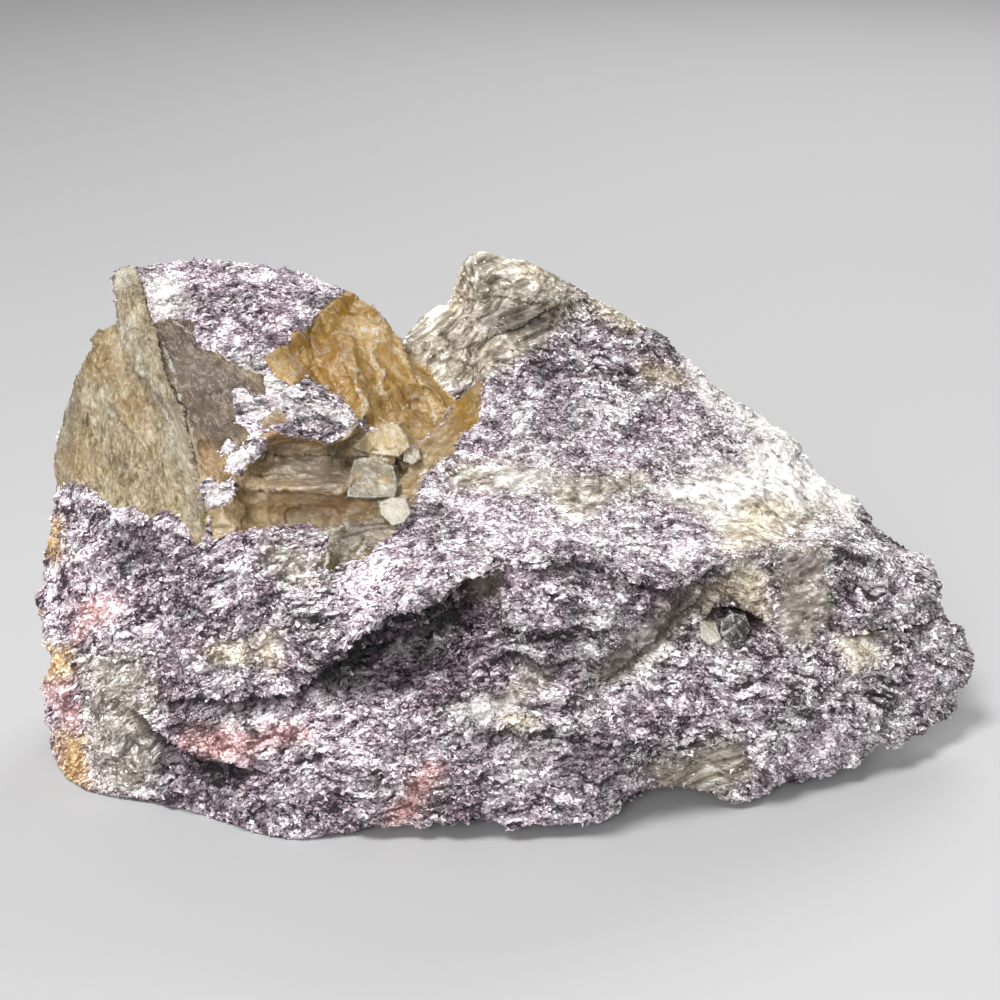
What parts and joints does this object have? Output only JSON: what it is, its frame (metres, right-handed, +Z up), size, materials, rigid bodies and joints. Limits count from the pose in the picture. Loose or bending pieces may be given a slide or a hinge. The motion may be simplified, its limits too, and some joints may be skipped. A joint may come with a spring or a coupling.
{
  "type": "lepidolite specimen",
  "caption": "Broken block of purple mica rock with smoky and yellow quartz grown into it, resting on its flat base, with a rough sloping display face.",
  "frame": {"origin": "middle of the bounding box, at the level of the flat base", "axes": "+X along the specimen's length, towards its low end; -Y towards the display side; +Z up"},
  "size_m": [0.1968, 0.0924, 0.1022],
  "materials": {
    "lepidolite": "sparkling fine-grained purple mica with white, cream and grey-green patches and translucent smoky to amber quartz"
  },
  "bodies": {
    "root": {"lepidolite_specimen": "lepidolite"}
  },
  "joints": []
}
